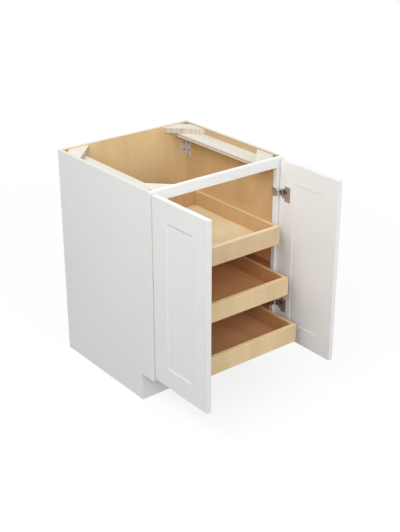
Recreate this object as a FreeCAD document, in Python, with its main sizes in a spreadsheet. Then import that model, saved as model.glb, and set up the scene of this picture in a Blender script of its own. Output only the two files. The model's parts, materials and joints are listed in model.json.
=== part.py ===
import FreeCAD, Part
import os
import re

import Sketcher

# Base cabinet with rollout trays. X runs to the right, Y to the back and Z up, in millimetres.
# The origin is on the floor, at the middle of the back's rear face. The doors stand open at a
# right angle and the trays are pulled out, each further than the one above it.

SIZES = {
    # case
    "case_width": 635.0,
    "case_depth": 609.6,
    "case_height": 876.3,
    "side_thickness": 12.7,
    "back_thickness": 12.7,
    "floor_thickness": 19.05,
    "kick_height": 114.3,
    "kick_depth": 76.2,
    "kick_thickness": 12.7,
    # face frame
    "frame_thickness": 19.05,
    "stile_width": 38.1,
    "rail_height": 38.1,
    # top side rails and corner braces
    "side_rail_width": 74.0,
    "side_rail_thickness": 15.5,
    "brace_leg": 124.0,
    "brace_cut": 32.0,
    "brace_thickness": 22.0,
    "brace_drop": 5.0,
    "nail_radius": 1.2,
    "nail_inset": 30.0,
    "nail_bite": 9.0,
    # corner brackets
    "bracket_leg": 31.5,
    "bracket_height": 53.0,
    "bracket_sheet": 2.0,
    "bracket_drop": 36.8,
    "bracket_tab_height": 19.0,
    "bracket_hole_inset": 14.0,
    "bracket_hole_edge": 11.0,
    # screws
    "screw_radius": 1.75,
    "screw_length": 13.0,
    "screw_head_radius": 3.5,
    "screw_head_height": 1.6,
    "flat_head_height": 0.8,
    # doors
    "door_thickness": 19.05,
    "door_side_reveal": 8.1,
    "door_top_reveal": 7.3,
    "door_bottom_reveal": 14.4,
    "door_middle_gap": 3.0,
    "door_face_gap": 2.5,
    "door_member_width": 85.8,
    "door_bevel": 7.8,
    "door_rebate": 7.8,
    "door_back_recess": 2.0,
    "door_panel_thickness": 14.85,
    "groove_depth": 12.0,
    "panel_clearance": 0.2,
    # hinges
    "upper_hinge_distance": 130.5,
    "lower_hinge_distance": 136.8,
    "pivot_edge": 6.4,
    "pivot_depth": 8.8,
    "pin_radius": 1.5,
    "pin_clearance": 0.05,
    "knuckle_radius": 3.0,
    "hinge_sheet": 2.0,
    "hinge_bend_radius": 3.0,
    "hinge_plate_length": 22.0,
    "hinge_plate_height": 34.0,
    "hinge_arm_height": 17.0,
    "ear_height": 4.7,
    "ear_gap": 0.3,
    "cup_offset": 28.9,
    "cup_bore_radius": 17.5,
    "cup_bore_depth": 11.5,
    "cup_fit": 0.1,
    "cup_wall": 1.0,
    "cup_rim": 3.0,
    "flange_width": 28.5,
    "flange_height": 61.0,
    "flange_sheet": 1.5,
    "cup_screw_spread": 24.0,
    "cup_screw_offset": 15.0,
    # trays
    "tray_side_gap": 40.0,
    "tray_height": 74.0,
    "tray_front_thickness": 18.0,
    "tray_wall": 15.0,
    "tray_floor_thickness": 6.0,
    "tray_floor_rise": 6.3,
    "tray_groove": 6.0,
    "tray_closed_inset": 69.0,
    "tray_rear_gap": 7.9,
    "bottom_tray_level": 178.0,
    "middle_tray_level": 360.5,
    "top_tray_level": 555.5,
    "bottom_tray_reach": 183.0,
    "middle_tray_reach": 128.0,
    "top_tray_reach": 70.0,
    # slides
    "slide_thickness": 12.7,
    "slide_setback": 20.0,
    "slide_rear_gap": 17.9,
    "slide_rise": 37.0,
    "slide_sheet": 1.5,
    "slide_gap": 0.3,
    "drawer_member_height": 30.0,
    "drawer_member_lip": 7.0,
    "intermediate_member_lip": 8.2,
    "intermediate_web_gap": 1.1,
    "cabinet_member_lip": 11.0,
    "slide_screw_inset": 40.0,
    "cleat_height": 45.0,
    # slide release levers
    "lever_setback": 88.0,
    "lever_length": 55.0,
    "lever_height": 7.0,
    "lever_head_radius": 5.0,
    "lever_thickness": 2.4,
    "lever_standoff": 1.5,
    "lever_pin_radius": 2.0,
    "lever_pin_end": 0.8,
}

SIDES = {"left": -1, "right": 1}
TRAYS = ("bottom", "middle", "top")

# Planes and corners that several pieces share, as formulas on the sizes.
INNER_X = "(case_width / 2 - side_thickness)"
OPENING_X = "(case_width / 2 - stile_width)"
FRONT_Y = "(-case_depth)"
FRAME_BACK_Y = "(frame_thickness - case_depth)"
KICK_Y = "(kick_depth - case_depth)"
BACK_FACE_Y = "(-back_thickness)"
FLOOR_TOP_Z = "(kick_height + rail_height)"
OPENING_TOP_Z = "(case_height - rail_height)"
BRACE_Z = "(case_height - brace_drop - brace_thickness)"
SIDE_RAIL_Z = f"({BRACE_Z} - side_rail_thickness)"
BRACKET_TOP_Z = f"({SIDE_RAIL_Z} - bracket_drop)"

PIVOT_X = "(case_width / 2 - door_side_reveal - pivot_edge)"
PIVOT_Y = "(-case_depth - door_face_gap - pivot_depth)"
DOOR_IN_X = f"({PIVOT_X} - pivot_depth)"
DOOR_OUT_X = f"({DOOR_IN_X} + door_thickness)"
DOOR_WIDTH = "(case_width / 2 - door_side_reveal - door_middle_gap / 2)"
DOOR_EDGE_Y = f"({PIVOT_Y} + pivot_edge)"
DOOR_FREE_Y = f"({DOOR_EDGE_Y} - {DOOR_WIDTH})"
DOOR_LOW_Z = "(kick_height + door_bottom_reveal)"
DOOR_TOP_Z = "(case_height - door_top_reveal)"
HINGE_LEVELS = (f"({DOOR_LOW_Z} + lower_hinge_distance)", f"({DOOR_TOP_Z} - upper_hinge_distance)")
CUP_Y = f"({DOOR_EDGE_Y} - cup_offset)"

TRAY_X = f"({OPENING_X} - tray_side_gap)"
TRAY_DEPTH = "(case_depth - back_thickness - tray_closed_inset - tray_rear_gap)"
SLIDE_LENGTH = "(case_depth - back_thickness - tray_closed_inset - slide_setback - slide_rear_gap)"
SLIDE_X = f"({TRAY_X} + slide_thickness)"
INTERMEDIATE_X = f"({SLIDE_X} - slide_sheet - intermediate_web_gap)"
INTERMEDIATE_HEIGHT = "(drawer_member_height + 2 * slide_gap + 2 * slide_sheet)"
CABINET_HEIGHT = f"({INTERMEDIATE_HEIGHT} + 2 * slide_gap + 2 * slide_sheet)"

doc = FreeCAD.newDocument("BaseCabinet")
sheet = doc.addObject("Spreadsheet::Sheet", "Sizes")
nodes = {}


def fill_sheet():
    for row, (alias, value) in enumerate(SIZES.items(), start=1):
        sheet.set(f"A{row}", alias.replace("_", " "))
        sheet.set(f"B{row}", str(value))
        sheet.setAlias(f"B{row}", alias)
    doc.recompute()


def on_sheet(formula):
    """The formula as the document reads it, with each size's alias looked up in the sheet."""
    return re.sub(r"[a-z]\w+", lambda word: f"Sizes.{word[0]}", formula)


def bind(piece, name, formula):
    piece.setExpression(name, on_sheet(formula))


def place(piece, base):
    for axis, formula in zip("xyz", base):
        bind(piece, f"Placement.Base.{axis}", formula)
    return piece


def keep(label, piece):
    """Make a piece one of the cabinet's nodes."""
    piece.Label = label
    nodes[label] = piece
    return piece


def low_x(sign, near, far):
    """Lowest X of a piece that lies between two distances from the middle, on one side."""
    return near if sign > 0 else f"-({far})"


def side_x(sign, distance):
    return f"{sign} * ({distance})"


def block(low, size):
    piece = doc.addObject("Part::Box", "Block")
    for name, formula in zip(("Length", "Width", "Height"), size):
        bind(piece, name, formula)
    return place(piece, low)


def side_block(sign, near, far, low_yz, size_yz):
    return block((low_x(sign, near, far), *low_yz), (f"({far}) - ({near})", *size_yz))


TURNS = {
    "+x": FreeCAD.Rotation(FreeCAD.Vector(0, 1, 0), 90),
    "-x": FreeCAD.Rotation(FreeCAD.Vector(0, 1, 0), -90),
    "+y": FreeCAD.Rotation(FreeCAD.Vector(1, 0, 0), -90),
    "-y": FreeCAD.Rotation(FreeCAD.Vector(1, 0, 0), 90),
    "+z": FreeCAD.Rotation(),
}


def rod(start, direction, radius, length):
    piece = doc.addObject("Part::Cylinder", "Rod")
    piece.Placement = FreeCAD.Placement(FreeCAD.Vector(), TURNS[direction])
    bind(piece, "Radius", radius)
    bind(piece, "Height", length)
    return place(piece, start)


def flared_block(sign, base, half_width, levels, depth, flare):
    """A block that runs outwards from its base and widens on all four sides on its way."""
    low, high = levels
    piece = doc.addObject("Part::Wedge", "Flare")
    sizes = {
        "Xmin": f"-({half_width})", "Xmax": half_width, "Ymin": "0", "Ymax": depth,
        "Zmin": low, "Zmax": high, "X2min": f"-({half_width} + {flare})",
        "X2max": f"{half_width} + {flare}", "Z2min": f"{low} - {flare}", "Z2max": f"{high} + {flare}",
    }
    for name, formula in sizes.items():
        bind(piece, name, formula)
    out, up = FreeCAD.Vector(sign, 0, 0), FreeCAD.Vector(0, 0, 1)
    turn = FreeCAD.Rotation(out.cross(up), out, up, "XYZ")
    piece.Placement = FreeCAD.Placement(FreeCAD.Vector(), turn)
    return place(piece, base)


def outward(sign):
    return "+x" if sign > 0 else "-x"


def inward(sign):
    return outward(-sign)


def group(pieces):
    piece = doc.addObject("Part::Compound", "Group")
    piece.Links = pieces
    return piece


def join(pieces):
    piece = doc.addObject("Part::MultiFuse", "Join")
    piece.Shapes = pieces
    return piece


def cut(base, tools):
    piece = doc.addObject("Part::Cut", "Cut")
    piece.Base = base
    piece.Tool = tools[0] if len(tools) == 1 else group(tools)
    return piece


def screw(seat, direction, head_height="screw_head_height"):
    """A screw whose head sits on a face at the seat and whose shank runs along the direction."""
    opposite = {"+": "-", "-": "+"}[direction[0]] + direction[1]
    shank = rod(seat, direction, "screw_radius", "screw_length")
    head = rod(seat, opposite, "screw_head_radius", head_height)
    return join([shank, head])


def profile(points, length, x_axis, y_axis, base):
    """A body padded from an outline, drawn with its own x and y along the two given directions."""
    body = doc.addObject("PartDesign::Body", "Body")
    outline = body.newObject("Sketcher::SketchObject", "Outline")
    plane = next(f for f in body.Origin.OriginFeatures if f.Role == "XY_Plane")
    outline.AttachmentSupport = [(plane, "")]
    outline.MapMode = "FlatFace"
    count = len(points)
    start = [FreeCAD.Vector(*start_point(point), 0) for point in points]
    for i in range(count):
        outline.addGeometry(Part.LineSegment(start[i], start[(i + 1) % count]))
    for i, point in enumerate(points):
        outline.addConstraint(Sketcher.Constraint("Coincident", i, 2, (i + 1) % count, 1))
        for axis, formula, value in zip("XY", point, start[i]):
            name = f"{axis.lower()}{i}"
            index = outline.addConstraint(Sketcher.Constraint(f"Distance{axis}", i, 1, value))
            outline.renameConstraint(index, name)
            bind(outline, f"Constraints.{name}", formula)
    pad = body.newObject("PartDesign::Pad", "Pad")
    pad.Profile = outline
    bind(pad, "Length", length)
    x_dir, y_dir = FreeCAD.Vector(*x_axis), FreeCAD.Vector(*y_axis)
    turn = FreeCAD.Rotation(x_dir, y_dir, x_dir.cross(y_dir), "XYZ")
    body.Placement = FreeCAD.Placement(FreeCAD.Vector(), turn)
    return place(body, base)


def start_point(point):
    """Where an outline's corner is drawn before its constraints take over."""
    return [sheet.evalExpression(on_sheet(formula)) for formula in point]


def corner_angles():
    """The four inner corners at the top, with the two directions that lead out of each."""
    back, front, left, right = BACK_FACE_Y, FRAME_BACK_Y, f"-{INNER_X}", INNER_X
    return (
        (left, back, (0, -1, 0), (1, 0, 0)),
        (right, back, (-1, 0, 0), (0, -1, 0)),
        (left, front, (1, 0, 0), (0, 1, 0)),
        (right, front, (0, 1, 0), (-1, 0, 0)),
    )


def make_brace_nails():
    """Two nails a brace, one into the side and one into the back or the frame."""
    run = "brace_leg - nail_inset"
    nails = []
    for x, y, first, second in corner_angles():
        across = first if first[0] else second
        along = first if first[1] else second
        level = f"{BRACE_Z} + brace_thickness / 2"
        length = "nail_inset + nail_bite"
        into_side = "+x" if across[0] < 0 else "-x"
        into_end = "+y" if along[1] < 0 else "-y"
        nails.append(rod((f"{x} + {across[0]} * nail_inset", f"{y} + {along[1]} * ({run})", level),
                         into_side, "nail_radius", length))
        nails.append(rod((f"{x} + {across[0]} * ({run})", f"{y} + {along[1]} * nail_inset", level),
                         into_end, "nail_radius", length))
    return keep("brace_nails", group(nails))


def make_braces(nails):
    outline = (("brace_cut", "0"), ("brace_leg", "0"), ("0", "brace_leg"), ("0", "brace_cut"))
    braces = [cut(profile(outline, "brace_thickness", first, second, (x, y, BRACE_Z)), [nails])
              for x, y, first, second in corner_angles()]
    keep("corner_braces", group(braces))


def make_bracket_screws():
    screws = []
    for sign in SIDES.values():
        for level in ("bracket_hole_edge", "bracket_height - bracket_hole_edge"):
            z = f"{BRACKET_TOP_Z} - ({level})"
            screws.append(screw((side_x(sign, f"{INNER_X} - bracket_hole_inset"),
                                 f"{BACK_FACE_Y} - bracket_sheet", z), "+y"))
            screws.append(screw((side_x(sign, f"{INNER_X} - bracket_sheet"),
                                 f"{BACK_FACE_Y} - bracket_leg + bracket_hole_edge", z), outward(sign)))
        tab_z = f"{BRACKET_TOP_Z} - bracket_height - bracket_tab_height / 2"
        screws.append(screw((side_x(sign, f"{INNER_X} - bracket_sheet"),
                             f"{BACK_FACE_Y} - bracket_hole_inset", tab_z), outward(sign)))
    return keep("bracket_screws", group(screws))


def make_brackets(screws):
    leg, sheet_side = "bracket_leg", "bracket_sheet"
    outline = (("0", "0"), (leg, "0"), (leg, sheet_side), (sheet_side, sheet_side), (sheet_side, leg),
               ("0", leg))
    brackets = []
    for (x, y, first, second), sign in zip(corner_angles(), SIDES.values()):
        angle = profile(outline, "bracket_height", first, second,
                        (x, y, f"{BRACKET_TOP_Z} - bracket_height"))
        tab = side_block(sign, f"{INNER_X} - bracket_sheet", INNER_X,
                         (f"{BACK_FACE_Y} - bracket_leg",
                          f"{BRACKET_TOP_Z} - bracket_height - bracket_tab_height"),
                         ("bracket_leg", "bracket_tab_height"))
        brackets.append(cut(join([angle, tab]), [screws]))
    keep("corner_brackets", group(brackets))


def make_case(nails, bracket_screws):
    notch = (("0", "0"), ("case_depth - kick_depth", "0"), ("case_depth - kick_depth", "kick_height"),
             ("case_depth - frame_thickness", "kick_height"),
             ("case_depth - frame_thickness", "case_height"), ("0", "case_height"))
    width = f"2 * {INNER_X}"
    depth = f"{BACK_FACE_Y} - {FRAME_BACK_Y}"
    floor_z = f"{FLOOR_TOP_Z} - floor_thickness"
    for side, sign in SIDES.items():
        panel = profile(notch, "side_thickness", (0, -1, 0), (0, 0, 1),
                        ("case_width / 2" if sign > 0 else f"-{INNER_X}", "0", "0"))
        keep(f"{side}_side_panel", cut(panel, [nails, bracket_screws]))
        keep(f"{side}_top_rail", side_block(sign, f"({INNER_X} - side_rail_width)", INNER_X,
                                            (FRAME_BACK_Y, SIDE_RAIL_Z), (depth, "side_rail_thickness")))
    back = block((f"-{INNER_X}", BACK_FACE_Y, "0"), (width, "back_thickness", "case_height"))
    keep("back_panel", cut(back, [nails, bracket_screws]))
    keep("cabinet_floor", block((f"-{INNER_X}", FRAME_BACK_Y, floor_z), (width, depth, "floor_thickness")))
    keep("toe_kick_board", block((f"-{INNER_X}", KICK_Y, "0"), (width, "kick_thickness", floor_z)))


def make_face_frame(nails, hinge_screws):
    for side, sign in SIDES.items():
        stile = side_block(sign, OPENING_X, "(case_width / 2)", (FRONT_Y, "kick_height"),
                           ("frame_thickness", "case_height - kick_height"))
        keep(f"{side}_frame_stile", cut(stile, [hinge_screws]))
    rail = (f"2 * {OPENING_X}", "frame_thickness", "rail_height")
    keep("top_frame_rail", cut(block((f"-{OPENING_X}", FRONT_Y, OPENING_TOP_Z), rail), [nails]))
    keep("bottom_frame_rail", block((f"-{OPENING_X}", FRONT_Y, "kick_height"), rail))


def make_hinge_screws():
    seat_y = f"{FRONT_Y} + hinge_plate_length / 2"
    screws = [screw((side_x(sign, f"{OPENING_X} - hinge_sheet"), seat_y, level), outward(sign))
              for sign in SIDES.values() for level in HINGE_LEVELS]
    return keep("hinge_plate_screws", group(screws))


def make_hinge_pins():
    reach = "(hinge_arm_height / 2 + ear_gap + ear_height)"
    pins = [rod((side_x(sign, PIVOT_X), PIVOT_Y, f"{level} - {reach}"), "+z", "pin_radius",
                f"2 * {reach}") for sign in SIDES.values() for level in HINGE_LEVELS]
    return keep("hinge_pins", group(pins))


def make_hinge_arms(pins, screws):
    """Plate on the stile's inner edge, with an arm that bends out of the opening to the pin."""
    arms = []
    arm_low_y = f"({PIVOT_Y} - hinge_sheet / 2)"
    bend_y = f"({arm_low_y} + hinge_sheet + hinge_bend_radius)"
    bend_x = f"({OPENING_X} + hinge_bend_radius)"
    plate_x = f"({OPENING_X} - hinge_sheet)"
    for sign in SIDES.values():
        for level in HINGE_LEVELS:
            plate_z = f"{level} - hinge_plate_height / 2"
            arm_z = f"{level} - hinge_arm_height / 2"
            plate = side_block(sign, plate_x, OPENING_X, (FRONT_Y, plate_z),
                               ("hinge_plate_length", "hinge_plate_height"))
            neck = side_block(sign, plate_x, OPENING_X, (bend_y, arm_z),
                              (f"{FRONT_Y} - {bend_y}", "hinge_arm_height"))
            arm = side_block(sign, bend_x, PIVOT_X, (arm_low_y, arm_z),
                             ("hinge_sheet", "hinge_arm_height"))
            centre = (side_x(sign, bend_x), bend_y, arm_z)
            ring = cut(rod(centre, "+z", "hinge_bend_radius + hinge_sheet", "hinge_arm_height"),
                       [rod(centre, "+z", "hinge_bend_radius", "hinge_arm_height")])
            corner = block((low_x(sign, plate_x, bend_x), arm_low_y, arm_z),
                           (f"{bend_x} - {plate_x}", f"{bend_y} - {arm_low_y}", "hinge_arm_height"))
            bend = doc.addObject("Part::Common", "Bend")
            bend.Base, bend.Tool = ring, corner
            knuckle = rod((side_x(sign, PIVOT_X), PIVOT_Y, arm_z), "+z", "knuckle_radius",
                          "hinge_arm_height")
            arms.append(cut(join([plate, neck, bend, arm, knuckle]), [pins, screws]))
    keep("hinge_arms", group(arms))


def make_hinge_cups(side, sign, screws):
    """Cup with rim and flange in the door, and two ears that turn on the pin."""
    cups = []
    proud_x = f"({DOOR_IN_X} - flange_sheet)"
    slot = "(hinge_arm_height / 2 + ear_gap)"
    for level in HINGE_LEVELS:
        centre = (side_x(sign, DOOR_IN_X), CUP_Y, level)
        mouth = (side_x(sign, proud_x), CUP_Y, level)
        out = outward(sign)
        shell = rod(centre, out, "cup_bore_radius - cup_fit", "cup_bore_depth - cup_fit")
        rim = rod(mouth, out, "cup_bore_radius + cup_rim", "flange_sheet")
        flange = side_block(sign, proud_x, DOOR_IN_X,
                            (f"{CUP_Y} - flange_width", f"{level} - flange_height / 2"),
                            ("flange_width", "flange_height"))
        hollow = rod(mouth, out, "cup_bore_radius - cup_fit - cup_wall",
                     "flange_sheet + cup_bore_depth - cup_fit - cup_wall")
        mouth_slot = side_block(sign, proud_x, f"({DOOR_IN_X} + cup_bore_depth)",
                                (CUP_Y, f"{level} - {slot}"), ("cup_offset", f"2 * {slot}"))
        ears = []
        for ear_z in (f"{level} + {slot}", f"{level} - {slot} - ear_height"):
            ears.append(rod((side_x(sign, PIVOT_X), PIVOT_Y, ear_z), "+z", "knuckle_radius",
                            "ear_height"))
            ears.append(side_block(sign, f"({PIVOT_X} - knuckle_radius)", f"({PIVOT_X} + knuckle_radius)",
                                   (f"{PIVOT_Y} - cup_rim - knuckle_radius", ear_z),
                                   ("cup_rim + knuckle_radius", "ear_height")))
        pin_hole = rod((side_x(sign, PIVOT_X), PIVOT_Y, f"{level} - flange_height / 2"), "+z",
                       "pin_radius + pin_clearance", "flange_height")
        cup = cut(join([shell, rim, flange]), [join([hollow, mouth_slot])])
        cups.append(cut(join([cup, *ears]), [pin_hole, screws]))
    keep(f"{side}_hinge_cups", group(cups))


def make_cup_screws(side, sign):
    screws = [screw((side_x(sign, f"{DOOR_IN_X} - flange_sheet"), f"{CUP_Y} - cup_screw_offset",
                     f"{level} + {end} * cup_screw_spread"), outward(sign))
              for level in HINGE_LEVELS for end in (-1, 1)]
    return keep(f"{side}_cup_screws", group(screws))


def make_door(side, sign):
    """Two stiles, two rails and a panel held in their grooves, recessed on both faces.

    The members slope down to the panel on the outer face and have a square step on the inner one.
    """
    height = f"({DOOR_TOP_Z} - {DOOR_LOW_Z})"
    rail_low_y = f"({DOOR_FREE_Y} + door_member_width)"
    rail_length = f"({DOOR_WIDTH} - 2 * door_member_width)"
    inset = "(door_member_width - groove_depth)"
    panel_in_x = f"({DOOR_IN_X} + door_back_recess)"
    panel_out_x = f"({panel_in_x} + door_panel_thickness)"
    panel_space = (f"({DOOR_FREE_Y} + {inset})", f"({DOOR_LOW_Z} + {inset})",
                   f"({DOOR_WIDTH} - 2 * {inset})", f"({height} - 2 * {inset})")

    def panel(clearance):
        low_y, low_z, width, tall = panel_space
        return side_block(sign, f"({panel_in_x} + {clearance} / 2)", f"({panel_out_x} - {clearance} / 2)",
                          (f"{low_y} + {clearance}", f"{low_z} + {clearance}"),
                          (f"{width} - 2 * {clearance}", f"{tall} - 2 * {clearance}"))

    def member(low_y, low_z, width, tall):
        return side_block(sign, DOOR_IN_X, DOOR_OUT_X, (low_y, low_z), (width, tall))

    screws = make_cup_screws(side, sign)
    levels = (f"({DOOR_LOW_Z} + door_member_width)", f"({DOOR_TOP_Z} - door_member_width)")
    slope = flared_block(sign, (side_x(sign, panel_out_x), f"{DOOR_FREE_Y} + {DOOR_WIDTH} / 2", "0"),
                         f"({DOOR_WIDTH} / 2 - door_member_width)", levels,
                         f"({DOOR_OUT_X} - {panel_out_x})", "door_bevel")
    step = "(door_member_width - door_rebate)"
    rebate = side_block(sign, DOOR_IN_X, panel_in_x,
                        (f"{DOOR_FREE_Y} + {step}", f"{DOOR_LOW_Z} + {step}"),
                        (f"{DOOR_WIDTH} - 2 * {step}", f"{height} - 2 * {step}"))
    groove = join([panel("0"), slope, rebate])
    bores = []
    for level in HINGE_LEVELS:
        bores.append(rod((side_x(sign, DOOR_IN_X), CUP_Y, level), outward(sign), "cup_bore_radius",
                         "cup_bore_depth"))
        reach = "(hinge_arm_height / 2 + 2 * ear_gap + ear_height)"
        bores.append(side_block(sign, DOOR_IN_X, f"({PIVOT_X} + knuckle_radius + ear_gap)",
                                (f"{PIVOT_Y} - cup_rim - 2 * knuckle_radius", f"{level} - {reach}"),
                                ("pivot_edge + cup_rim + 2 * knuckle_radius", f"2 * {reach}")))
    hinge_stile = member(f"{DOOR_EDGE_Y} - door_member_width", DOOR_LOW_Z, "door_member_width", height)
    keep(f"{side}_door_hinge_stile", cut(hinge_stile, [join([groove, *bores]), screws]))
    free_stile = member(DOOR_FREE_Y, DOOR_LOW_Z, "door_member_width", height)
    keep(f"{side}_door_free_stile", cut(free_stile, [groove]))
    for name, low_z in (("bottom", DOOR_LOW_Z), ("top", f"{DOOR_TOP_Z} - door_member_width")):
        rail = member(rail_low_y, low_z, rail_length, "door_member_width")
        keep(f"{side}_door_{name}_rail", cut(rail, [groove]))
    keep(f"{side}_door_panel", panel("panel_clearance"))
    make_hinge_cups(side, sign, screws)


def channel(sign, facing, web_x, lip, height, front_y, level):
    """A slide member: a web with a lip above and below that face out (1) or in (-1)."""
    sheet_side = "slide_sheet"
    outline = (("0", "0"), (lip, "0"), (lip, sheet_side), (sheet_side, sheet_side),
               (sheet_side, f"{height} - {sheet_side}"), (lip, f"{height} - {sheet_side}"), (lip, height),
               ("0", height))
    direction = sign * facing
    start_y = f"{front_y} + {SLIDE_LENGTH}" if direction > 0 else front_y
    return profile(outline, SLIDE_LENGTH, (direction, 0, 0), (0, 0, 1),
                   (side_x(sign, web_x), start_y, f"{level} - {height} / 2"))


def tray_front_y(tray):
    return f"({FRONT_Y} - {tray}_tray_reach)"


def slide_level(tray):
    return f"({tray}_tray_level + slide_rise)"


def slide_screws(x, direction, front_y, level):
    places = ("slide_screw_inset", f"{SLIDE_LENGTH} - slide_screw_inset")
    return [screw((x, f"{front_y} + {where}", level), direction, "flat_head_height") for where in places]


def make_cabinet_slides():
    """Battens on the side panels and the slide members that are screwed to them."""
    front_y = f"({FRONT_Y} + tray_closed_inset + slide_setback)"
    spots = [(sign, slide_level(tray)) for tray in TRAYS for sign in SIDES.values()]
    screws = []
    for sign, level in spots:
        seat_x = side_x(sign, f"{SLIDE_X} - slide_sheet")
        screws += slide_screws(seat_x, outward(sign), front_y, level)
    screws = keep("cabinet_slide_screws", group(screws))
    cleats = []
    members = []
    for sign, level in spots:
        cleat = side_block(sign, SLIDE_X, INNER_X, (FRAME_BACK_Y, f"{level} - cleat_height / 2"),
                           (f"{BACK_FACE_Y} - {FRAME_BACK_Y}", "cleat_height"))
        cleats.append(cut(cleat, [screws]))
        member = channel(sign, -1, SLIDE_X, "cabinet_member_lip", CABINET_HEIGHT, front_y, level)
        members.append(cut(member, [screws]))
    keep("slide_cleats", group(cleats))
    keep("cabinet_slide_members", group(members))


def make_levers(tray, front_y, level):
    """Release levers on the drawer members, and the pins that they turn on."""
    pin_y = f"({front_y} + lever_setback)"
    low = f"({TRAY_X} + slide_sheet + lever_standoff)"
    high = f"({low} + lever_thickness)"
    web_x = f"({TRAY_X} + slide_sheet)"
    pin_length = "lever_standoff + lever_thickness + lever_pin_end"
    pins = []
    levers = []
    for sign in SIDES.values():
        out = outward(sign)
        eye = (side_x(sign, low), pin_y, level)
        pins.append(rod((side_x(sign, web_x), pin_y, level), out, "lever_pin_radius", pin_length))
        bar = side_block(sign, low, high, (pin_y, f"{level} - lever_height / 2"),
                         ("lever_length", "lever_height"))
        head = rod(eye, out, "lever_head_radius", "lever_thickness")
        hole = rod(eye, out, "lever_pin_radius + pin_clearance", "lever_thickness")
        levers.append(cut(join([bar, head]), [hole]))
    keep(f"{tray}_slide_levers", group(levers))
    return pins


def make_tray_slides(tray):
    """The drawer members screwed to the tray's sides, and the intermediate members around them."""
    front_y = f"({tray_front_y(tray)} + slide_setback)"
    level = slide_level(tray)
    screws = []
    for sign in SIDES.values():
        screws += slide_screws(side_x(sign, f"{TRAY_X} + slide_sheet"), inward(sign), front_y, level)
    screws = keep(f"{tray}_tray_screws", group(screws))
    pins = make_levers(tray, front_y, level)
    drawer = []
    intermediate = []
    for sign, pin in zip(SIDES.values(), pins):
        member = channel(sign, 1, TRAY_X, "drawer_member_lip", "drawer_member_height", front_y, level)
        drawer.append(cut(join([member, pin]), [screws]))
        intermediate.append(channel(sign, -1, INTERMEDIATE_X, "intermediate_member_lip",
                                    INTERMEDIATE_HEIGHT, front_y, level))
    keep(f"{tray}_slide_drawer_members", group(drawer))
    keep(f"{tray}_slide_intermediate_members", group(intermediate))
    return screws


def make_tray(tray):
    """An open box: front across the sides, back between them, floor held in grooves all round."""
    front_y = tray_front_y(tray)
    low_z = f"{tray}_tray_level"
    side_y = f"({front_y} + tray_front_thickness)"
    back_y = f"({front_y} + {TRAY_DEPTH} - tray_wall)"
    inner_x = f"({TRAY_X} - tray_wall)"
    floor_x = f"({inner_x} + tray_groove)"
    floor_y = f"({side_y} - tray_groove)"
    floor = block((f"-{floor_x}", floor_y, f"{low_z} + tray_floor_rise"),
                  (f"2 * {floor_x}", f"{back_y} + tray_groove - {floor_y}", "tray_floor_thickness"))
    screws = make_tray_slides(tray)
    front = block((f"-{TRAY_X}", front_y, low_z), (f"2 * {TRAY_X}", "tray_front_thickness", "tray_height"))
    back = block((f"-{inner_x}", back_y, low_z), (f"2 * {inner_x}", "tray_wall", "tray_height"))
    sides = [side_block(sign, inner_x, TRAY_X, (side_y, low_z),
                        (f"{TRAY_DEPTH} - tray_front_thickness", "tray_height")) for sign in SIDES.values()]
    keep(f"{tray}_tray_front", cut(front, [floor]))
    keep(f"{tray}_tray_back", cut(back, [floor]))
    keep(f"{tray}_tray_sides", group([cut(side, [floor, screws]) for side in sides]))
    keep(f"{tray}_tray_floor", floor)


def check_document():
    doc.recompute()
    for piece in doc.Objects:
        if "Invalid" in piece.State or "Error" in piece.State:
            raise RuntimeError(f"{piece.Name} failed: {piece.State}")
    for label, piece in nodes.items():
        if piece.Shape.isNull() or not piece.Shape.isValid() or not piece.Shape.Solids:
            raise RuntimeError(f"{label} has no valid solid")


def write_parts():
    os.makedirs("parts", exist_ok=True)
    for label, piece in nodes.items():
        piece.Shape.exportStep(f"parts/{label}.step")
    print(len(nodes), "nodes written")


fill_sheet()
brace_nails = make_brace_nails()
make_braces(brace_nails)
angle_screws = make_bracket_screws()
make_brackets(angle_screws)
make_case(brace_nails, angle_screws)
plate_screws = make_hinge_screws()
make_face_frame(brace_nails, plate_screws)
make_hinge_arms(make_hinge_pins(), plate_screws)
for door_side, door_sign in SIDES.items():
    make_door(door_side, door_sign)
make_cabinet_slides()
for tray_name in TRAYS:
    make_tray(tray_name)
check_document()
write_parts()
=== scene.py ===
import json
import math

import bmesh
import bpy
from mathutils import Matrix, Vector


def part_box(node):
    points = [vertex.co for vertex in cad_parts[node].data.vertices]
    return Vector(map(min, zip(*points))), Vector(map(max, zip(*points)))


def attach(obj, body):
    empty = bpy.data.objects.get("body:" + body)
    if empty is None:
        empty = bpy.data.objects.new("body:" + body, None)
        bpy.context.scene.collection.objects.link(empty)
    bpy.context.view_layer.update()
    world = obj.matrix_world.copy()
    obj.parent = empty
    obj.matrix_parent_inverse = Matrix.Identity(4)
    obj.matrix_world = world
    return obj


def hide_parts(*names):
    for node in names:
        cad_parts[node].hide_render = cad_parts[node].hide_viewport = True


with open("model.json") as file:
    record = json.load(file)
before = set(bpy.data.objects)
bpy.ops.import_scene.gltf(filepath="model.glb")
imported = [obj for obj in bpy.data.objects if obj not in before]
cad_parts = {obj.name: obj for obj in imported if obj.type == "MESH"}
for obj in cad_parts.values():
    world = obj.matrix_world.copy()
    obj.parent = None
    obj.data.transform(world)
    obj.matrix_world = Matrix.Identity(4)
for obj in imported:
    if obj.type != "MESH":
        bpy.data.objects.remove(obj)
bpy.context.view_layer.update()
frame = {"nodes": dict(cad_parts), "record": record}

bpy.context.scene.view_settings.view_transform = "Standard"

MM = 0.001
X, Y, Z = range(3)
SIDES = {"left": -1, "right": 1}
TRAYS = ("bottom", "middle", "top")
BODIES = frame["record"]["behaviour"]["bodies"]
BODY_OF = {node: body for body, members in BODIES.items() for node in members}


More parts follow.
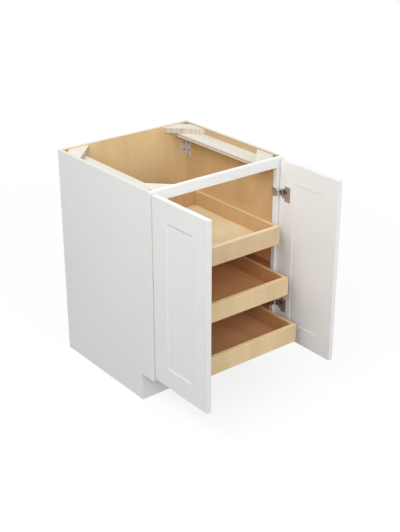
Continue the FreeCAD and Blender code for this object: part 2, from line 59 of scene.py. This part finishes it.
def span(node, axis):
    """Where a CAD piece starts and ends along an axis."""
    low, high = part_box(node)
    return low[axis], high[axis]


def thickness(node, axis):
    start, end = span(node, axis)
    return end - start


# Places on the cabinet and the layers of its plywood, all from the CAD pieces
CASE_HALF_WIDTH = span("right_side_panel", X)[1]
TRAY_HALF_WIDTH = span("top_tray_sides", X)[1]
FRAME_FRONT = span("top_frame_rail", Y)[0]
RAIL_UNDERSIDE, RAIL_TOP = span("right_top_rail", Z)
TOP_TRAY_UNDERSIDE, TOP_TRAY_TOP = span("top_tray_sides", Z)
TOP_TRAY_MIDDLE = (TOP_TRAY_UNDERSIDE + TOP_TRAY_TOP) / 2
PLY_LAYERS = 3
PANEL_LAYER = thickness("right_side_panel", X) / PLY_LAYERS
TRAY_LAYER = thickness("top_tray_back", Y) / PLY_LAYERS
FRONT_LAYER = thickness("top_tray_front", Y) / PLY_LAYERS

# How far the edges are eased
THIN_EASE, METAL_EASE, PANEL_EASE, FRAME_EASE = 0.3 * MM, 0.4 * MM, 0.5 * MM, 0.6 * MM
DOOR_EASE, CLEAT_EASE, TRAY_EASE = 0.8 * MM, 1.0 * MM, 1.2 * MM
SHORTEST_EDGE, SHORTEST_ROUND_EDGE = 6 * MM, 0.2 * MM
NOTCH_AREA = 100 * MM ** 2
SHARP_ANGLE = math.radians(50)
METAL_SMOOTH, SCREW_SMOOTH = math.radians(35), math.radians(40)

# Points this near are one, faces this near to one plane are one, and a face this far along
# an axis faces that way
WELD = 0.002 * MM
FLAT_ANGLE = math.radians(0.5)
FACING = 0.5

# The hinges: their cups' bores lie near a door's hinged edge, their arms stand out of the frame,
# where they get a paler nickel, a painted highlight
BORE_REACH = 55 * MM
ARM_START = 4 * MM

# Screw heads: they are a screw's largest round faces, give or take a little, and get a cross
HEAD_DOME, FLAT_HEAD_DOME, CROSS_SIZE = 1.1 * MM, 0.4 * MM, 0.9 * MM
ROUND_CORNERS, SAME_SIZE, SAME_WAY = 8, 0.95, 0.999
CROSS_MARK, CUT_WELD = 2, 1e-7


class Wire:
    """A socket in a finish's node tree, for use in Python expressions."""

    def __init__(self, tree, socket=None):
        self.tree, self.socket = tree, socket

    def plug(self, target, value):
        if isinstance(value, Wire):
            self.tree.links.new(value.socket, target)
        else:
            target.default_value = value

    def add(self, kind, settings=(), sockets=(), output=0):
        """Any node: its settings are set first, then its sockets get values or wires."""
        node = self.tree.nodes.new(kind)
        for name, value in dict(settings).items():
            setattr(node, name, value)
        for name, value in dict(sockets).items():
            self.plug(node.inputs[name], value)
        return Wire(self.tree, node.outputs[output])

    def math(self, operation, *values):
        return self.add("ShaderNodeMath", {"operation": operation}, dict(enumerate(values)))

    def __add__(self, other):
        return self.math("ADD", self, other)

    def __radd__(self, other):
        return self.math("ADD", other, self)

    def __sub__(self, other):
        return self.math("SUBTRACT", self, other)

    def __rsub__(self, other):
        return self.math("SUBTRACT", other, self)

    def __mul__(self, other):
        return self.math("MULTIPLY", self, other)

    def __rmul__(self, other):
        return self.math("MULTIPLY", other, self)

    def __truediv__(self, other):
        return self.math("DIVIDE", self, other)

    def __rtruediv__(self, other):
        return self.math("DIVIDE", other, self)

    def __abs__(self):
        return self.math("ABSOLUTE", self)

    def fraction(self):
        return self.math("FRACT", self)

    def step(self, low, high):
        """0 below low, 1 above high and a smooth rise between them."""
        return self.add("ShaderNodeMapRange", {"interpolation_type": "SMOOTHSTEP"},
                        {"Value": self, "From Min": low, "From Max": high})

    def clamped(self):
        """The value, held between 0 and 1."""
        return self.add("ShaderNodeClamp", {}, {"Value": self})

    def stretched(self, scale, offset=(0, 0, 0)):
        return self.add("ShaderNodeMapping", {},
                        {"Vector": self, "Scale": scale, "Location": offset})

    def noise(self, scale=1.0, detail=2.0, roughness=0.5, distortion=0.0):
        return self.add("ShaderNodeTexNoise", {}, {
            "Vector": self, "Scale": scale, "Detail": detail, "Roughness": roughness,
            "Distortion": distortion})

    def part(self, axis):
        """One of a vector's three coordinates."""
        return self.add("ShaderNodeSeparateXYZ", {}, {0: self}, axis)

    def blend(self, low, high):
        """A colour between two, by this value."""
        return self.add("ShaderNodeMix", {"data_type": "RGBA"}, {0: self, 6: low, 7: high}, 2)

    def tinted(self, colour, tint):
        """A colour multiplied by a tint, as far as this value says."""
        return self.add("ShaderNodeMix", {"data_type": "RGBA", "blend_type": "MULTIPLY"},
                        {0: self, 6: colour, 7: tint}, 2)

    def bump(self, strength, distance):
        return self.add("ShaderNodeBump", {},
                        {"Height": self, "Strength": strength, "Distance": distance})


def rgb(red, green, blue):
    """A colour as an eye reads it on screen, from 0 to 255, in the shader's linear terms."""
    def linear(value):
        value /= 255
        return value / 12.92 if value <= 0.04045 else ((value + 0.055) / 1.055) ** 2.4
    return (linear(red), linear(green), linear(blue), 1.0)


def shaded(tint, red, green, blue):
    """The same tint with each of its channels scaled."""
    return (tint[0] * red, tint[1] * green, tint[2] * blue, 1.0)


def grey(tone):
    return (tone, tone, tone, 1.0)


def new_finish(name):
    """A material with its surface shader and a wire of the piece's own coordinates."""
    material = bpy.data.materials.new(name)
    material.use_nodes = True
    tree = material.node_tree
    place = Wire(tree).add("ShaderNodeTexCoord", output="Object")
    return material, tree.nodes["Principled BSDF"], place


def set_surface(shader, wire, **sockets):
    for name, value in sockets.items():
        wire.plug(shader.inputs[name.replace("_", " ")], value)


# Wood fibres are this much longer than wide, and varnish shines less than bare lacquer
FIBRE_STRETCH = 22
VARNISH_SPECULAR = 0.35


def scales(axis, along, across):
    """The scale of each axis for a pattern that runs along one of them."""
    return [along if name == axis else across for name in "xyz"]


def veneer(name, grain, tint, sheen=0.42, painted_shade_above=None, painted_warm_shade_below=None):
    """Varnished birch: broad clouds, faint streaks, fine fibres and short pores along the grain.
    Above one height the colour is darker and greyer, a painted shade; below another it is redder,
    a painted warm shade of light bounced between the birch faces."""
    material, shader, place = new_finish(name)
    along = place.stretched(scales(grain, 1, FIBRE_STRETCH))
    clouds = place.stretched(scales(grain, 0.35, 1)).noise(
        scale=9.0, detail=3, roughness=0.55, distortion=0.8)
    streaks = along.noise(scale=1.6, detail=4, roughness=0.6, distortion=0.35)
    fibres = along.noise(scale=28.0, detail=3, roughness=0.65)
    shifted = along.stretched((1, 1, 1), offset=(3.1, 1.7, 0.4))
    pores = shifted.noise(scale=60.0, detail=1).step(0.66, 0.74)
    tone = (clouds * 0.7 + streaks * 0.3).step(0.3, 0.7)
    colour = tone.blend(shaded(tint, 0.93, 0.92, 0.9), shaded(tint, 1.07, 1.08, 1.1))
    deep = shaded(tint, 0.72, 0.64, 0.55)
    colour = (fibres.step(0.42, 0.78) * 0.2 + pores * 0.2).clamped().blend(colour, deep)
    # Painted warm shade: below this height the colour is tinted redder
    if painted_warm_shade_below is not None:
        fade = 20 * MM
        warm_shade = 1 - place.part(Z).step(painted_warm_shade_below - fade, painted_warm_shade_below + fade)
        colour = warm_shade.tinted(colour, (1.42, 1.02, 0.93, 1.0))
    # Painted shade: above this height the colour turns darker and greyer
    if painted_shade_above is not None:
        fade = 4 * MM
        top_shade = place.part(Z).step(painted_shade_above - fade, painted_shade_above + fade) * 0.7
        colour = top_shade.blend(colour, shaded(tint, 0.74, 0.83, 0.88))
    set_surface(shader, place, Base_Color=colour, Roughness=sheen + fibres * 0.16 - 0.08,
                Normal=(fibres * 0.6 - pores * 0.8).bump(strength=0.12, distance=0.4 * MM))
    shader.inputs["Specular IOR Level"].default_value = VARNISH_SPECULAR
    return material


def bare_ply(name, grain, stack, start, layer, face, glue, edge_tones):
    """Pale unfinished plywood. Faces across the stack show its layers and the saw's strokes.
    The tones are those of a plain edge, of a line between layers and of a stroke."""
    material, shader, place = new_finish(name)
    axis = "xyz".index(stack)
    along = place.stretched(scales(grain, 1, FIBRE_STRETCH))
    streaks = along.noise(scale=1.3, detail=3, roughness=0.55, distortion=0.3)
    fibres = along.noise(scale=30.0, detail=3, roughness=0.6)
    strokes = place.stretched(scales(stack, 0.05, 1)).noise(scale=170.0, detail=2, roughness=0.6)
    depth = (place.part(axis) - start) / layer
    lines = 1 - abs(depth.fraction() - 0.5).step(0.08, 0.26)
    facing = place.add("ShaderNodeNewGeometry", output="Normal").part(axis)
    edge = 1 - abs(facing).step(0.6, 0.8)
    face_tone = streaks.step(0.35, 0.75) * 0.22 + fibres.step(0.45, 0.8) * 0.12
    plain, line, stroke = edge_tones
    edge_tone = plain + lines * line + strokes.step(0.45, 0.72) * stroke
    tone = (face_tone + edge * (edge_tone - face_tone)).clamped()
    set_surface(shader, place, Base_Color=tone.blend(face, glue), Roughness=0.62 + fibres * 0.2,
                Normal=(fibres + edge * strokes).bump(strength=0.15, distance=0.5 * MM))
    return material


def satin_paint(name, tint):
    """Sprayed white lacquer: a faint orange peel, slow unevenness in tone and in gloss."""
    material, shader, place = new_finish(name)
    peel = place.noise(scale=420.0)
    slow = place.noise(scale=3.0, detail=3, roughness=0.55)
    fine = place.noise(scale=45.0, detail=3, roughness=0.6)
    uneven = (slow * 0.7 + fine * 0.3).step(0.3, 0.7)
    set_surface(shader, place, Base_Color=uneven.blend(tint, shaded(tint, 0.972, 0.972, 0.972)),
                Roughness=0.36 + slow * 0.12 + fine * 0.05,
                Normal=peel.bump(strength=0.06, distance=0.3 * MM))
    return material


def plated_steel(name, tint, rough, metal):
    """Plated sheet steel with rolling marks and cloudy gloss."""
    material, shader, place = new_finish(name)
    marks = place.stretched((60, 60, 900)).noise(detail=3, roughness=0.6)
    cloud = place.noise(scale=90.0, detail=3, roughness=0.6)
    worn = (marks * 0.5 + cloud * 0.5).step(0.3, 0.75)
    set_surface(shader, place, Base_Color=worn.blend(tint, shaded(tint, 0.8, 0.8, 0.8)),
                Roughness=rough + (cloud - 0.5) * 0.25,
                Normal=marks.bump(strength=0.05, distance=0.2 * MM))
    shader.inputs["Metallic"].default_value = metal
    return material


def moulded_plastic(name, tone, worn_tone):
    """Plastic with a fine moulded grain, paler where it is worn."""
    material, shader, place = new_finish(name)
    grain = place.noise(scale=900.0)
    worn = place.noise(scale=60.0)
    set_surface(shader, place, Base_Color=worn.step(0.45, 0.8).blend(tone, worn_tone),
                Roughness=0.5 + worn * 0.15, Normal=grain.bump(strength=0.2, distance=0.2 * MM))
    return material


def tray_side_edge(name, face, glue):
    return bare_ply(name, grain="y", stack="x", start=TRAY_HALF_WIDTH, layer=TRAY_LAYER,
                    face=face, glue=glue, edge_tones=(0.1, 0.5, 0.2))


def tray_front_edge(name, face, glue):
    return bare_ply(name, grain="x", stack="y", start=0.0, layer=FRONT_LAYER,
                    face=face, glue=glue, edge_tones=(0.1, 0.5, 0.2))


# Paint and varnished birch. The trays' birch comes in lit and shaded copies: painted light and
# painted shade.
PAINT = satin_paint("white_lacquer", rgb(236, 236, 234))
CASE_BIRCH = {axis: veneer(f"case_birch_{axis}", axis, rgb(209, 174, 127)) for axis in "xy"}
# The side panels' inner faces: painted shade above the top rails, painted warm shade below the top
# tray's middle
SIDE_BIRCH = veneer("side_birch", "z", rgb(206, 173, 127), painted_shade_above=RAIL_TOP,
                    painted_warm_shade_below=TOP_TRAY_MIDDLE)
BACK_BIRCH = veneer("back_birch", "z", rgb(224, 196, 149))
# Painted light: the fronts' outer faces are paler than the walls inside, and the lower trays'
# fronts paler again
LIT_FRONT_BIRCH = {"top": veneer("top_front_birch", "z", rgb(220, 194, 153)),
               "low": veneer("low_front_birch", "z", rgb(228, 202, 159))}
# Painted shade: the tray walls are redder and darker than the fronts, the lower trays' more so
SHADED_WALL_BIRCH = {"top": veneer("top_tray_birch", "z", rgb(200, 163, 117)),
              "middle": veneer("middle_tray_birch", "z", rgb(198, 147, 103)),
              "bottom": veneer("bottom_tray_birch", "z", rgb(189, 142, 100))}
# Painted light and shade: the top tray's floor is pale, lit from above, the lower trays' floors
# are redder, in shade
FLOOR_BIRCH = {"top": veneer("top_floor_birch", "y", rgb(226, 207, 170)),
               "middle": veneer("middle_floor_birch", "y", rgb(237, 180, 129)),
               "bottom": veneer("bottom_floor_birch", "y", rgb(226, 175, 125))}
# Painted shade: the lower cleats are redder and darker than the case's birch, their ends darker
# still, part end grain and part painted shade
SHADED_CLEAT_BIRCH = veneer("shaded_cleat_birch", "y", rgb(186, 130, 88))
END_GRAIN_AND_SHADE = veneer("cleat_end_grain_and_shade", "y", rgb(128, 86, 52), sheen=0.6)
# The hinge cups' bores: partly bare core, partly painted shade, darker than the core itself
BARE_CORE_AND_SHADE = veneer("bare_door_core_and_shade", "z", rgb(104, 84, 68), sheen=0.7)

# Bare plywood. A layer of a metre shows no line on a brace's edge.
PLY_FACE, PLY_GLUE, EDGE_GLUE = rgb(227, 223, 214), rgb(180, 160, 136), rgb(206, 197, 188)
RAIL_PLY = bare_ply("rail_ply", "y", "z", RAIL_UNDERSIDE, RAIL_TOP - RAIL_UNDERSIDE,
                    PLY_FACE, PLY_GLUE, edge_tones=(0.15, 0.7, 0.1))
BRACE_PLY = bare_ply("brace_ply", "y", "z", RAIL_UNDERSIDE, 1.0,
                     PLY_FACE, PLY_GLUE, edge_tones=(0.5, 0.0, 0.5))
SIDE_EDGE = bare_ply("side_edge_ply", "y", "x", CASE_HALF_WIDTH, PANEL_LAYER,
                     PLY_FACE, EDGE_GLUE, edge_tones=(0.1, 0.3, 0.1))
BACK_EDGE = bare_ply("back_edge_ply", "x", "y", 0.0, PANEL_LAYER,
                     PLY_FACE, EDGE_GLUE, edge_tones=(0.1, 0.3, 0.1))
# Painted light and shade: the top tray's edges are paler, lit from above, the lower trays' edges
# are redder, in shade
TRAY_EDGE = {"top": tray_side_edge("top_side_edge", rgb(224, 199, 158), rgb(207, 171, 122)),
             "low": tray_side_edge("low_side_edge", rgb(226, 193, 143), rgb(208, 164, 108))}
FRONT_EDGE = {"top": tray_front_edge("top_front_edge", rgb(239, 223, 193), rgb(222, 194, 153)),
              "low": tray_front_edge("low_front_edge", rgb(240, 213, 168), rgb(220, 180, 126))}

# Metal and plastic
NICKEL = plated_steel("nickel_plate", (0.505, 0.44, 0.395, 1.0), rough=0.4, metal=0.7)
# Painted highlight: a paler, glossier nickel for the hinge arms where they stand out of the frame
NICKEL_PAINTED_HIGHLIGHT = plated_steel("nickel_painted_highlight", (0.72, 0.7, 0.68, 1.0), rough=0.22, metal=1.0)
ZINC = plated_steel("zinc_plate", (0.66, 0.65, 0.65, 1.0), rough=0.42, metal=1.0)
GREY_STEEL = plated_steel("grey_bracket_steel", (0.68, 0.63, 0.62, 1.0), rough=0.6, metal=0.15)
# Blackened steel; in the screws' cross recesses it is a painted shade
DARK_STEEL_AND_SHADE = plated_steel("blackened_steel_and_shade", (0.06, 0.05, 0.05, 1.0), rough=0.5, metal=0.4)
DARK_PLASTIC = moulded_plastic("dark_moulding", (0.03, 0.03, 0.032, 1.0), (0.06, 0.06, 0.062, 1.0))


def piece_from(bm, name, finishes, node, smooth_angle=None):
    """Turn a bmesh into a piece that stands for a CAD node and rides on its body."""
    mesh = bpy.data.meshes.new(name)
    bm.to_mesh(mesh)
    bm.free()
    for finish in finishes:
        mesh.materials.append(finish)
    stale_normals = mesh.attributes.get("custom_normal")
    if stale_normals:
        mesh.attributes.remove(stale_normals)
    if smooth_angle is None:
        mesh.shade_flat()
    else:
        mesh.shade_smooth()
        mesh.set_sharp_from_angle(angle=smooth_angle)
    piece = bpy.data.objects.new(name, mesh)
    bpy.context.scene.collection.objects.link(piece)
    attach(piece, BODY_OF[node])
    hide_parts(node)


def merged_copy(node):
    """The CAD mesh with its split vertices merged and its flat faces whole."""
    bm = bmesh.new()
    bm.from_mesh(frame["nodes"][node].data)
    bmesh.ops.remove_doubles(bm, verts=bm.verts, dist=WELD)
    bmesh.ops.dissolve_limit(bm, angle_limit=FLAT_ANGLE, verts=bm.verts, edges=bm.edges)
    return bm


def eased(node, width, finishes, choose=None, segments=2, smooth_angle=None,
          shortest=SHORTEST_EDGE, smallest=0.0):
    """A copy of a CAD piece whose long outer edges are eased, with a finish for each of its faces.
    The edges of faces smaller than the given area stay sharp."""
    bm = merged_copy(node)
    for face in bm.faces:
        face.material_index = choose(face) if choose else 0
    sharp = [edge for edge in bm.edges
             if len(edge.link_faces) == 2 and edge.calc_length() > shortest
             and min(face.calc_area() for face in edge.link_faces) >= smallest
             and edge.calc_face_angle_signed() > SHARP_ANGLE]
    bmesh.ops.bevel(bm, geom=sharp, offset=width, offset_type="OFFSET", segments=segments,
                    profile=0.5, affect="EDGES", clamp_overlap=True, material=-1)
    bmesh.ops.dissolve_degenerate(bm, dist=WELD, edges=bm.edges)
    piece_from(bm, f"eased_{node}", finishes, node, smooth_angle)


def cross_cut(bm, head, width, depth):
    """Press a cross recess into the flat top of a screw's head. The top is marked by a finish
    number of its own while it is cut up. Then the cross gets finish 1 and the rest finish 0."""
    normal, centre = head.normal.copy(), head.calc_center_median()
    across = normal.orthogonal().normalized()
    axes = (across, normal.cross(across))
    head.material_index = CROSS_MARK
    pieces = [head]
    for axis in axes:
        for side in (-1, 1):
            around = {part for face in pieces for part in (face, *face.edges, *face.verts)}
            bmesh.ops.bisect_plane(bm, geom=list(around), dist=CUT_WELD, plane_no=axis,
                                   plane_co=centre + axis * side * width / 2)
            pieces = [face for face in bm.faces if face.material_index == CROSS_MARK]
    cross = []
    for face in pieces:
        middle = face.calc_center_median() - centre
        inside = any(abs(middle.dot(axis)) < width / 2 for axis in axes)
        face.material_index = int(inside)
        if inside:
            cross.append(face)
    sunk = bmesh.ops.extrude_face_region(bm, geom=cross)["geom"]
    bmesh.ops.translate(bm, vec=-depth * normal,
                        verts=[part for part in sunk if isinstance(part, bmesh.types.BMVert)])
    bmesh.ops.delete(bm, geom=cross, context="FACES")


def screws(node, finish, dome=HEAD_DOME):
    """The CAD screws with their heads rounded over and a cross pressed into each."""
    bm = merged_copy(node)
    discs = [face for face in bm.faces if len(face.verts) > ROUND_CORNERS]
    largest = max(face.calc_area() for face in discs)
    tops = [face for face in discs if face.calc_area() > SAME_SIZE * largest]
    rims = {edge for face in tops for edge in face.edges}
    heads = [(face.calc_center_median(), face.normal.copy()) for face in tops]
    bmesh.ops.bevel(bm, geom=list(rims), offset=dome, offset_type="OFFSET", segments=4,
                    profile=0.5, affect="EDGES", clamp_overlap=True, material=-1)
    for centre, normal in heads:
        head = min((face for face in bm.faces if face.normal.dot(normal) > SAME_WAY),
                   key=lambda face: (face.calc_center_median() - centre).length)
        cross_cut(bm, head, CROSS_SIZE, min(dome, CROSS_SIZE))
    bmesh.ops.recalc_face_normals(bm, faces=bm.faces)
    # Painted shade: the crosses get the dark steel as finish 1
    piece_from(bm, f"crossed_{node}", [finish, DARK_STEEL_AND_SHADE], node, SCREW_SMOOTH)


def faces_up(face):
    return int(face.normal.z > FACING)


def cleat_finish(face):
    """The top tray's cleats are of the case's birch. The lower ones are redder and darker, a
    painted shade, and their ends darker still, partly end grain and partly painted shade.
    """
    if face.calc_center_median().z > TOP_TRAY_UNDERSIDE:
        return 0
    return 2 if abs(face.normal.y) > FACING else 1


def make_case():
    for side, sign in SIDES.items():
        eased(f"{side}_side_panel", PANEL_EASE, [PAINT, SIDE_BIRCH, SIDE_EDGE],
              lambda face: 2 if faces_up(face) else int(face.normal.x * sign < -FACING))
        eased(f"{side}_frame_stile", FRAME_EASE, [PAINT])
        eased(f"{side}_top_rail", PANEL_EASE, [RAIL_PLY])
    for node in ("top_frame_rail", "bottom_frame_rail", "toe_kick_board"):
        eased(node, FRAME_EASE, [PAINT])
    eased("back_panel", PANEL_EASE, [BACK_BIRCH, BACK_EDGE], faces_up)
    eased("cabinet_floor", PANEL_EASE, [CASE_BIRCH["x"]])
    eased("slide_cleats", CLEAT_EASE, [CASE_BIRCH["y"], SHADED_CLEAT_BIRCH, END_GRAIN_AND_SHADE], cleat_finish)
    eased("corner_braces", PANEL_EASE, [BRACE_PLY])


def in_bores(node):
    """Picks the faces of the hinge cups' bores, which lie inside a stile near its hinged edge."""
    low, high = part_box(node)

    def bored(face):
        middle = face.calc_center_median()
        inside = all(low[axis] + MM < middle[axis] < high[axis] - MM for axis in (X, Y, Z))
        return int(inside and middle.y > high[Y] - BORE_REACH)
    return bored


def make_doors():
    for side in SIDES:
        stile = f"{side}_door_hinge_stile"
        # The bores get the dark finish: bare core and painted shade
        eased(stile, DOOR_EASE, [PAINT, BARE_CORE_AND_SHADE], in_bores(stile), smallest=NOTCH_AREA)
        for member in ("free_stile", "top_rail", "bottom_rail"):
            eased(f"{side}_door_{member}", DOOR_EASE, [PAINT])
        eased(f"{side}_door_panel", THIN_EASE, [PAINT])


def make_trays():
    for tray in TRAYS:
        level = "top" if tray == "top" else "low"
        wall = SHADED_WALL_BIRCH[tray]
        # Painted light and shade: a front's outer face gets the paler lit birch, its inner face
        # the redder shaded birch of the walls
        eased(f"{tray}_tray_front", TRAY_EASE, [LIT_FRONT_BIRCH[level], wall, FRONT_EDGE[level]],
              lambda face: 2 if faces_up(face) else int(face.normal.y > FACING), segments=3)
        eased(f"{tray}_tray_back", TRAY_EASE, [wall, FRONT_EDGE[level]], faces_up, segments=3)
        eased(f"{tray}_tray_sides", TRAY_EASE, [wall, TRAY_EDGE[level]], faces_up, segments=3)
        eased(f"{tray}_tray_floor", THIN_EASE, [FLOOR_BIRCH[tray]])


def metal_piece(node, finish, width=METAL_EASE):
    eased(node, width, [finish], smooth_angle=METAL_SMOOTH)


def round_piece(node, finish):
    eased(node, THIN_EASE, [finish], smooth_angle=METAL_SMOOTH, shortest=SHORTEST_ROUND_EDGE)


def make_fittings():
    # Painted highlight: the arms' faces in front of the frame get the paler nickel
    eased("hinge_arms", METAL_EASE, [NICKEL, NICKEL_PAINTED_HIGHLIGHT],
          lambda face: int(face.calc_center_median().y < FRAME_FRONT - ARM_START),
          smooth_angle=METAL_SMOOTH)
    for side in SIDES:
        metal_piece(f"{side}_hinge_cups", NICKEL)
    metal_piece("corner_brackets", GREY_STEEL, PANEL_EASE)
    metal_piece("cabinet_slide_members", ZINC)
    for tray in TRAYS:
        metal_piece(f"{tray}_slide_intermediate_members", ZINC)
        metal_piece(f"{tray}_slide_drawer_members", ZINC)
        metal_piece(f"{tray}_slide_levers", DARK_PLASTIC)
    round_piece("hinge_pins", NICKEL)
    round_piece("brace_nails", DARK_STEEL_AND_SHADE)
    for node in ("hinge_plate_screws", "left_cup_screws", "right_cup_screws"):
        screws(node, NICKEL)
    screws("bracket_screws", DARK_STEEL_AND_SHADE)
    for node in ("cabinet_slide_screws", *(f"{tray}_tray_screws" for tray in TRAYS)):
        screws(node, ZINC, FLAT_HEAD_DOME)


# The studio, in metres: the floor glows white far from the cabinet and keeps a shadow near it
FLOOR_REACH = 30.0
FLOOR_BOUNCE, FLOOR_SEEN = grey(0.15), grey(0.95)
GLOW_NEAR, GLOW_START, GLOW_FULL = 0.82, 0.6, 2.4
AMBIENT = 0.48

# Each lamp's azimuth and elevation in degrees, its distance in metres and its power in watts.
# A lamp is a disc whose width is a share of its distance.
LAMPS = {
    "left_window": (-90, 55, 4.2, 69),
    "front_left": (-45, 30, 4.5, 89),
    "front_wall": (0, 12, 5.5, 52),
    "right_fill": (65, 25, 4.5, 33),
    "back_fill": (180, 55, 4.5, 24),
    "right_card": (41, 6, 1.4, 1.7),
}
LAMP_TARGET = Vector((0, -0.45, 0.45))
LAMP_SHARE = 0.65

# The photograph's view, found by fitting the case's corners
CAMERA_PLACE = (-2.24437, -3.31045, 2.12806)
CAMERA_AZIMUTH, CAMERA_ELEVATION = -38.506, 24.797
FOCAL_PIXELS, PHOTO_HEIGHT = 1019.536, 532
SENSOR = 36.0


def seen_white(wire, lit, strength):
    """Factor by which what the camera, metal and glass see is plain white."""
    rays = [wire.add("ShaderNodeLightPath", output=name) for name in
            ("Is Camera Ray", "Is Glossy Ray", "Is Transmission Ray")]
    return (rays[0] + rays[1] + rays[2]).clamped() * strength + lit


def floor_finish():
    material = bpy.data.materials.new("studio_floor")
    material.use_nodes = True
    tree = material.node_tree
    tree.nodes.remove(tree.nodes["Principled BSDF"])
    wire = Wire(tree)
    seen = seen_white(wire, 0.0, 1.0)
    diffuse = wire.add("ShaderNodeBsdfDiffuse", {},
                       {"Color": seen.blend(FLOOR_BOUNCE, FLOOR_SEEN)})
    glow = wire.add("ShaderNodeEmission", {}, {"Color": grey(1.0), "Strength": 1.0})
    place = wire.add("ShaderNodeTexCoord", output="Object")
    away = wire.add("ShaderNodeVectorMath", {"operation": "LENGTH"}, {0: place}, "Value")
    plain = away.step(GLOW_START, GLOW_FULL) * (1 - GLOW_NEAR) + GLOW_NEAR
    mixed = wire.add("ShaderNodeMixShader", {}, {0: seen * plain, 1: diffuse, 2: glow})
    wire.plug(tree.nodes["Material Output"].inputs["Surface"], mixed)
    return material


def make_floor():
    bm = bmesh.new()
    bmesh.ops.create_grid(bm, x_segments=1, y_segments=1, size=FLOOR_REACH)
    mesh = bpy.data.meshes.new("studio_floor")
    bm.to_mesh(mesh)
    bm.free()
    mesh.materials.append(floor_finish())
    floor = bpy.data.objects.new("studio_floor", mesh)
    bpy.context.scene.collection.objects.link(floor)


def make_world():
    world = bpy.data.worlds.new("studio")
    bpy.context.scene.world = world
    world.use_nodes = True
    wire = Wire(world.node_tree)
    background = world.node_tree.nodes["Background"]
    background.inputs["Color"].default_value = grey(1.0)
    wire.plug(background.inputs["Strength"], seen_white(wire, AMBIENT, 1 - AMBIENT))


def direction(azimuth, elevation):
    """Unit vector from the cabinet to a point, turned to the right from its front and raised."""
    turn, rise = math.radians(azimuth), math.radians(elevation)
    return Vector((math.sin(turn) * math.cos(rise), -math.cos(turn) * math.cos(rise),
                   math.sin(rise)))


def aim(holder, away):
    """Turn a lamp or the camera to look against the given direction."""
    holder.rotation_euler = (-away).to_track_quat("-Z", "Y").to_euler()
    bpy.context.scene.collection.objects.link(holder)


def make_lamp(name, azimuth, elevation, distance, power):
    lamp = bpy.data.lights.new(name, "AREA")
    lamp.shape, lamp.size, lamp.energy = "DISK", LAMP_SHARE * distance, power
    holder = bpy.data.objects.new(name, lamp)
    away = direction(azimuth, elevation)
    holder.location = LAMP_TARGET + away * distance
    holder.visible_camera = False
    aim(holder, away)


def make_camera():
    camera = bpy.data.cameras.new("camera")
    camera.sensor_width = SENSOR
    camera.lens = FOCAL_PIXELS / PHOTO_HEIGHT * SENSOR
    holder = bpy.data.objects.new("camera", camera)
    holder.location = CAMERA_PLACE
    aim(holder, direction(CAMERA_AZIMUTH, CAMERA_ELEVATION))
    bpy.context.scene.camera = holder


make_case()
make_doors()
make_trays()
make_fittings()
make_floor()
make_world()
for name, setting in LAMPS.items():
    make_lamp(name, *setting)
make_camera()
